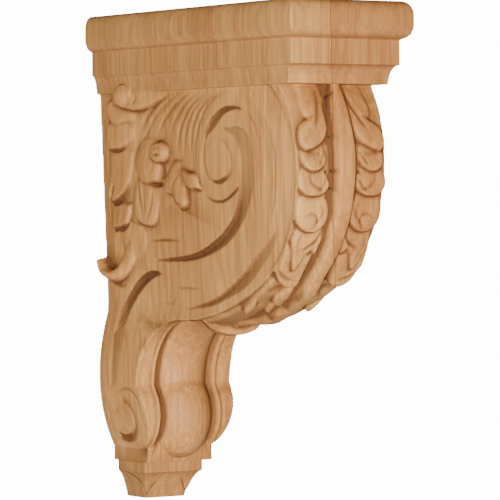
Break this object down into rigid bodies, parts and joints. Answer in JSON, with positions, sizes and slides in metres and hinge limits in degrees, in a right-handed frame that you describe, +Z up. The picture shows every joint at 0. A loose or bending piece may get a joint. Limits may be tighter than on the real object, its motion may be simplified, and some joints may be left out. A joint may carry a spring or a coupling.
{
  "type": "corbel bracket",
  "caption": "Carved wooden corbel: a moulded cap on a scroll-shaped body with leaf carving, narrowing to a small stepped foot, for fixing to a wall under a shelf.",
  "frame": {"origin": "centre of the back face, on the wall plane", "axes": "+Z up, -Y out from the wall to the carved front, +X to the right seen from the front"},
  "size_m": [0.095, 0.2545, 0.33],
  "materials": {
    "wood": "sanded, unfinished"
  },
  "bodies": {
    "root": {"carved_corbel": "wood"}
  },
  "joints": []
}
